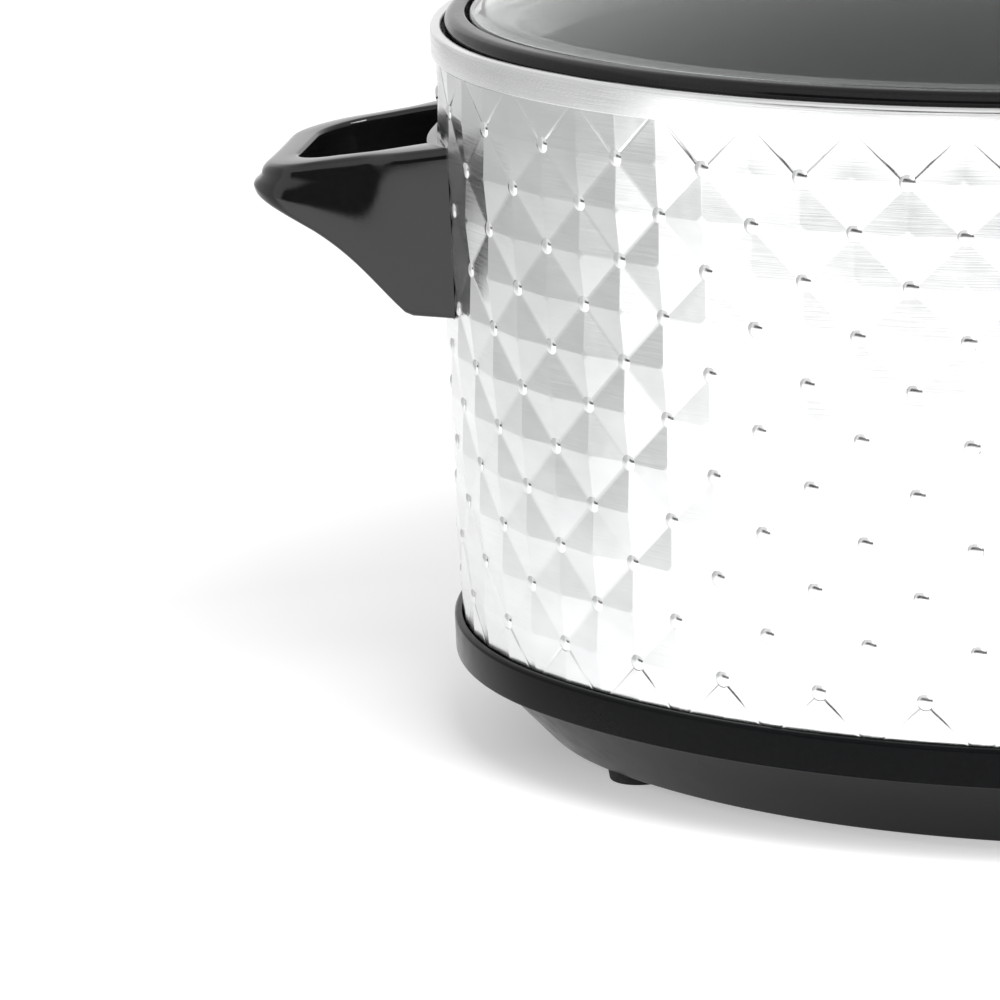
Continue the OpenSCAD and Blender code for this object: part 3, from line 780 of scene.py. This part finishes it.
def make_heat_marks():
    """Seven printed bars that grow with the setting."""
    start, half = 20.3 * MM, 0.45 * MM
    y = -HALF_D - (BEZEL_FRONT - BEZEL_SINK) * MM
    bm = bmesh.new()
    for k in range(7):
        angle = math.radians(-135 + 45 * k)
        end = start + (1.6 + 0.4 * k) * MM
        out = Vector((math.sin(angle), 0, math.cos(angle)))
        across = Vector((math.cos(angle), 0, -math.sin(angle)))
        shape = ((start, -half), (start, half), (end, half), (end, -half))
        corners = [out * a + across * b for a, b in shape]
        back, front = ([bm.verts.new(c + Vector((0, y + lift, DIAL_Z))) for c in corners]
                       for lift in (0.05 * MM, -0.06 * MM))
        bm.faces.new(back)
        bm.faces.new(front[::-1])
        for i in range(4):
            j = (i + 1) % 4
            bm.faces.new((back[i], front[i], front[j], back[j]))
    bmesh.ops.recalc_face_normals(bm, faces=bm.faces)
    finish(object_from(bm, "dial_marks"), "housing", "base_plastic", KNOB_PLASTIC)


def make_control_knob():
    low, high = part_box("control_knob")
    back, top = (-high.y - HALF_D) / MM, (-low.y - HALF_D) / MM
    radius = (high.z - low.z) / 2 / MM
    flutes, around = 12, 144
    outline = turned_outline([(3, back, 0), (radius, back, 0.3), (radius, back + 3, 0.8),
                              (radius - 1.5, back + 3.6, 0.4), (radius - 1.9, top, 1.5),
                              (radius - 5, top, 0.4), (radius - 5, top - 0.8, 0), (3, top - 0.8, 0)])
    vertices = []
    for i in range(around):
        a = 2 * math.pi * i / around
        flute = 0.7 * MM * max(0.0, math.cos(a * flutes)) ** 1.5
        for r, h in outline:
            if r > (radius - 3.4) * MM:     # the flutes run out above the knob's skirt
                r -= flute * min(1.0, max(0.0, (h / MM - back - 3.4) / 1.5))
            vertices.append((r * math.sin(a), -HALF_D - h, DIAL_Z + r * math.cos(a)))
    knob = new_object("dial_knob", vertices, grid_faces(around, len(outline)), math.radians(50))
    finish(knob, "dial", "base_plastic", KNOB_PLASTIC, "control_knob")


def make_knob_cap():
    low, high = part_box("knob_cap")
    r, thick = (high.x - low.x) / 2 / MM, (high.y - low.y) / MM
    outline = turned_outline([(0, 0, 0), (r, 0, 0.05), (r, thick, 0.3), (0, thick, 0)], 4)
    cap = lathe("dial_cap", outline, (0, high.y, DIAL_Z), (0, -1, 0))
    finish(cap, "dial", "bezel_metal", SPUN_STEEL, "knob_cap")


make_bezel()
make_heat_marks()
make_control_knob()
make_knob_cap()


# ---- Feet and the cord gland ----
def make_foot(node):
    low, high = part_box(node)
    middle, r, top = (low + high) / 2, (high.x - low.x) / 2 / MM, (high.z - low.z) / MM
    outline = turned_outline([(0, 0.5, 0), (r - 3.2, 0.5, 0.3), (r - 3.6, 0, 0.2), (r - 0.4, 0, 0.5),
                              (r, 2.9, 0.3), (4, 3, 0.1), (4, 5.5, 0), (5.5, 5.5, 0.2), (5, top, 0.4),
                              (0, top, 0)], 4)
    foot = lathe(node + "_rubber", outline, (middle.x, middle.y, low.z), (0, 0, 1), 64)
    finish(foot, "housing", "rubber_black", RUBBER, node)


def make_gland():
    """The rear gland: a flange inside and out, four strain relief ribs and a nose."""
    low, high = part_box("cord_gland")
    middle = (low + high) / 2
    bore, inside, nose = 3.7, (low.y - HALF_D) / MM, (high.y - HALF_D) / MM
    ribs = []
    for k in range(4):
        y, r = 4.2 + 2.1 * k, 7 - 0.35 * k
        ribs += [(r, y, 0.2), (r, y + 1.2, 0.2), (r - 0.8, y + 1.3, 0.1), (r - 0.8, y + 2.0, 0.1)]
    outline = turned_outline([(bore, inside, 0.3), (9, inside, 0.4), (9, -1.1, 0), (7, -1.1, 0), (7, 0, 0),
                              (10, 0.05, 0), (10, 3, 0.9), (7.2, 3.2, 0.4), *ribs, (5.6, nose, 0.5),
                              (bore, nose, 0.5)], 3)
    gland = lathe("cord_gland_rubber", outline, (middle.x, HALF_D, middle.z), (0, 1, 0), 64)
    finish(gland, "housing", "rubber_black", RUBBER, "cord_gland")


for corner_name in ("front_left", "front_right", "rear_left", "rear_right"):
    make_foot("foot_" + corner_name)
make_gland()


# ---- CAD nodes that stay as they are, with a material each ----
def dress(slot, material, *nodes):
    for node in nodes:
        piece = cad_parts[node]
        piece.data.materials.clear()
        piece.data.materials.append(material)


dress("liner_metal", LINER, "bottom_cover", "heat_shield")
dress("fastener_steel", FASTENER, "base_screws", "base_nuts", "centre_stud", "spacer_sleeves",
      "centre_washer", "centre_nut", "heater_clamp", "fuse_clip", "left_handle_plate", "right_handle_plate",
      "handle_screws", "switch_nut", "switch_shaft", "lid_knob_screw")
dress("heater_mica", MICA, "heater_band")
dress("glass_wool", WOOL, "insulation")
dress("fuse_brass", BRASS, "thermal_fuse")
dress("terminal_ceramic", CERAMIC, "terminal_block")
dress("switch_plastic", SWITCH_PLASTIC, "rotary_switch")
dress("pointer_white", POINTER_PAINT, "knob_pointer")
dress("rubber_black", RUBBER, "lid_seal_washer")
for lead, lead_color in LEAD_COLORS.items():
    dress("lead_sleeve", fibrous("sleeve_" + lead, lead_color, 2200, 0.1 * MM), lead)


# ---- Floor, light and surroundings ----
def make_floor():
    """White paper with a painted glow (emission) that lifts it and washes out the body's contact shadow. It
    is painted grey, a painted shade with less glow, to the left and behind, where the body's left side
    mirrors it: half grey past a line that runs beside the body, and fully grey further to the left."""
    half = 2.2
    # Painted light: glow is the white floor's painted glow (emission), grey_glow the weaker glow and
    # grey_shade the painted shade colour where the floor greys
    glow, grey_glow, grey_shade = 0.55, 0.16, 0.45
    behind_slope, behind_range = -0.23, (-0.12, 0.0)
    left_slope, left_range = 0.252, (-0.31, -0.75)
    mesh = bpy.data.meshes.new("floor")
    corners = [(-half, -half, 0), (half, -half, 0), (half, half, 0), (-half, half, 0)]
    mesh.from_pydata(corners, [], [(0, 1, 2, 3)])
    floor = bpy.data.objects.new("floor", mesh)
    bpy.context.scene.collection.objects.link(floor)
    m = Shader("floor_white", (0.88, 0.88, 0.88), 0.6, Specular_IOR_Level=0.1)
    m.set("Emission Color", (1, 1, 1, 1))
    split = m.tree.nodes.new("ShaderNodeSeparateXYZ")
    m.tree.links.new(m.coords, split.inputs[0])
    x, y = split.outputs["X"], split.outputs["Y"]
    # behind and left mask the painted shade, where the floor is painted grey
    behind = map_range(m.tree, math_node(m.tree, "MULTIPLY_ADD", x, behind_slope, y), behind_range)
    left = map_range(m.tree, math_node(m.tree, "MULTIPLY_ADD", y, left_slope, x), left_range, (0.5, 1.0))
    grey = math_node(m.tree, "MULTIPLY", behind, left)
    # Painted shade darkens the colour, and the painted glow is strong on the white floor and weak on the grey
    m.tint(grey, 1.0, grey_shade, 0.0, 1.0)
    m.tree.links.new(map_range(m.tree, grey, (0, 1), (glow, grey_glow)), m.bsdf.inputs["Emission Strength"])
    mesh.materials.append(m.material)


def make_world():
    """A pale studio: light walls, a greyer wall to the left and ceiling, and a dark gap low in front."""
    world = bpy.data.worlds.new("studio")
    world.use_nodes = True
    bpy.context.scene.world = world
    tree = world.node_tree
    direction = tree.nodes.new("ShaderNodeTexCoord").outputs["Generated"]
    split = tree.nodes.new("ShaderNodeSeparateXYZ")
    tree.links.new(direction, split.inputs[0])

    def lobe(azimuth, elevation, inner, outer):
        """1 within inner degrees of a direction, down to 0 at outer."""
        a, e = math.radians(azimuth), math.radians(elevation)
        dot = tree.nodes.new("ShaderNodeVectorMath")
        dot.operation = "DOT_PRODUCT"
        dot.inputs[1].default_value = (math.cos(a) * math.cos(e), math.sin(a) * math.cos(e), math.sin(e))
        tree.links.new(direction, dot.inputs[0])
        limits = (math.cos(math.radians(outer)), math.cos(math.radians(inner)))
        return map_range(tree, dot.outputs["Value"], limits, interpolation="SMOOTHSTEP")

    def above(low, high):
        """0 below an elevation of low degrees, up to 1 above high."""
        limits = (math.sin(math.radians(low)), math.sin(math.radians(high)))
        return map_range(tree, split.outputs["Z"], limits, interpolation="SMOOTHSTEP")

    wall_dim, ceiling_dim, gap_dim, darkest = 0.30, 0.35, 0.96, 0.02
    left_wall = math_node(tree, "MULTIPLY", lobe(158, 2, 32, 38), wall_dim)
    ceiling = math_node(tree, "MULTIPLY", lobe(100, 75, 15, 50), ceiling_dim)
    low_band = math_node(tree, "MULTIPLY", above(-3, -0.5), math_node(tree, "SUBTRACT", 1.0, above(16, 24)))
    front = math_node(tree, "MULTIPLY", lobe(-90, 0, 56, 64), low_band)
    gap = math_node(tree, "MULTIPLY", front, gap_dim)
    level = math_node(tree, "SUBTRACT", math_node(tree, "SUBTRACT", 1.0, left_wall), ceiling)
    level = math_node(tree, "MULTIPLY", level, math_node(tree, "SUBTRACT", 1.0, gap))
    background = tree.nodes["Background"]
    background.inputs["Color"].default_value = (1, 1, 1, 1)
    tree.links.new(math_node(tree, "MAXIMUM", level, darkest), background.inputs["Strength"])


def make_softbox():
    data = bpy.data.lights.new("key_softbox", "AREA")
    data.shape = "RECTANGLE"
    data.size = 1.5
    data.size_y = 1.1
    data.energy = 70
    place, aim = Vector((0.9, -1.7, 2.1)), Vector((0, 0, 0.05))
    light = bpy.data.objects.new("key_softbox", data)
    light.location = place
    light.rotation_mode = "QUATERNION"
    light.rotation_quaternion = (aim - place).to_track_quat("-Z", "Y")
    bpy.context.scene.collection.objects.link(light)


make_floor()
make_world()
make_softbox()
bpy.context.scene.view_settings.view_transform = "Standard"
